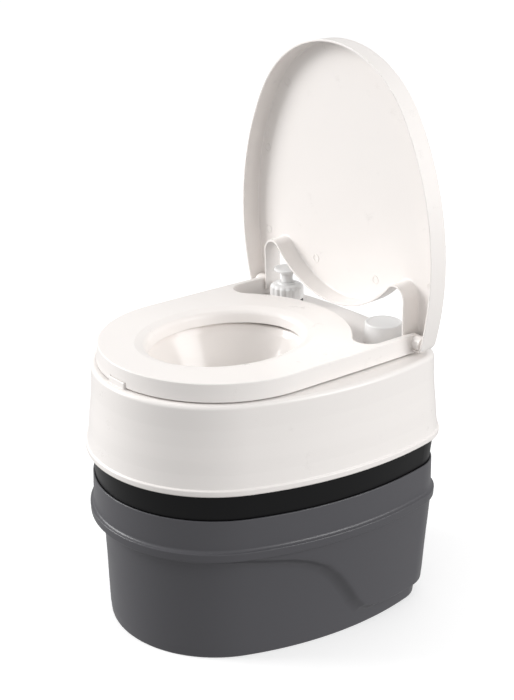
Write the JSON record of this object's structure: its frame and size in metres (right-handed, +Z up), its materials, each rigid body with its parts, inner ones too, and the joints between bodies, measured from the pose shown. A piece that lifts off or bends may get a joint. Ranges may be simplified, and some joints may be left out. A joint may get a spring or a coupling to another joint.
{
  "type": "cassette toilet",
  "caption": "Egg-shaped portable toilet: grey waste tank, black valve band, white flush tank with bowl, bellows pump and filler cap, hinged seat and lid.",
  "frame": {"origin": "on the floor, under the middle of the tanks' plan outline", "axes": "+Z up, -Y towards the front of the bowl, +X towards the sitter's left"},
  "size_m": [0.364, 0.4155, 0.696],
  "materials": {
    "white_shell": "smooth warm white moulded polyethylene, soft sheen",
    "grey_tank": "satin mid grey blow-moulded polyethylene",
    "black_band": "satin black moulded plastic",
    "cap_grey": "cool off-white moulded plastic",
    "rubber": "black sealing rubber",
    "rubber_pale": "pale soft rubber",
    "clear_hose": "milky flexible tube",
    "screw_steel": "plain steel"
  },
  "bodies": {
    "holding_tank": {"waste_tank": "grey_tank", "pour_spout": "black_band", "band_cover": "black_band", "throat_seal": "rubber", "valve_base": "black_band", "lower_seal": "rubber", "upper_seal": "rubber", "valve_cover": "black_band", "valve_screws": "screw_steel"},
    "valve": {"valve_blade": "grey_tank", "pull_handle": "grey_tank"},
    "latch_right": {"latch_slide_right": "grey_tank"},
    "latch_left": {"latch_slide_left": "grey_tank"},
    "spout_ring": {"spout_gasket": "rubber"},
    "spout_cap": {"spout_cap": "black_band"},
    "flush_tank": {"water_tank": "white_shell", "bowl": "white_shell", "outlet_seal": "rubber", "pump_barrel": "cap_grey", "pump_gasket": "rubber", "pump_nut": "cap_grey", "pump_bellows": "rubber", "flush_hose": "clear_hose", "flush_jet": "cap_grey", "hinge_posts": "white_shell", "hinge_pins": "white_shell", "latch_keepers": "white_shell"},
    "pump_plunger": {"pump_knob": "cap_grey", "plunger_disc": "cap_grey"},
    "filler_ring": {"filler_gasket": "rubber"},
    "filler_cap": {"filler_cap": "cap_grey"},
    "seat": {"seat": "white_shell", "seat_bumpers": "rubber_pale"},
    "lid": {"lid": "white_shell"}
  },
  "joints": [
    {"name": "tank_lift", "type": "slide", "parent": "holding_tank", "child": "flush_tank", "axis": [0, 0, 1], "range_m": [0, 0.08]},
    {"name": "valve_pull", "type": "slide", "parent": "holding_tank", "child": "valve", "axis": [0, 1, 0], "range_m": [0, 0.112]},
    {"name": "latch_right_slide", "type": "slide", "parent": "holding_tank", "child": "latch_right", "axis": [-1, 0, 0], "range_m": [0, 0.0075]},
    {"name": "latch_left_slide", "type": "slide", "parent": "holding_tank", "child": "latch_left", "axis": [1, 0, 0], "range_m": [0, 0.0075]},
    {"name": "spout_rise", "type": "slide", "parent": "holding_tank", "child": "spout_ring", "axis": [0, 1, 0], "range_m": [0, 0.00905]},
    {"name": "spout_turn", "type": "hinge", "parent": "spout_ring", "child": "spout_cap", "pos_m": [0, 0.18, 0.1], "axis": [0, 1, 0], "range_deg": [0, 1080]},
    {"name": "filler_rise", "type": "slide", "parent": "flush_tank", "child": "filler_ring", "axis": [0, 0, 1], "range_m": [0, 0.00905]},
    {"name": "filler_turn", "type": "hinge", "parent": "filler_ring", "child": "filler_cap", "pos_m": [0.093, 0.141, 0.35], "axis": [0, 0, 1], "range_deg": [0, 1080]},
    {"name": "pump_push", "type": "slide", "parent": "flush_tank", "child": "pump_plunger", "axis": [0, 0, -1], "range_m": [0, 0.011], "stiffness_N_per_m": 350, "springref_m": -0.004, "deforming": ["pump_bellows"]},
    {"name": "seat_hinge", "type": "hinge", "parent": "flush_tank", "child": "seat", "pos_m": [0, 0.148, 0.351], "axis": [-1, 0, 0], "range_deg": [0, 86]},
    {"name": "lid_hinge", "type": "hinge", "parent": "flush_tank", "child": "lid", "pos_m": [0, 0.148, 0.351], "axis": [-1, 0, 0], "range_deg": [-88.5, 0]}
  ],
  "couplings": [
    {"joint": "spout_rise", "follows": "spout_turn", "m_per_rad": 0.00047746},
    {"joint": "filler_rise", "follows": "filler_turn", "m_per_rad": 0.00047746}
  ]
}
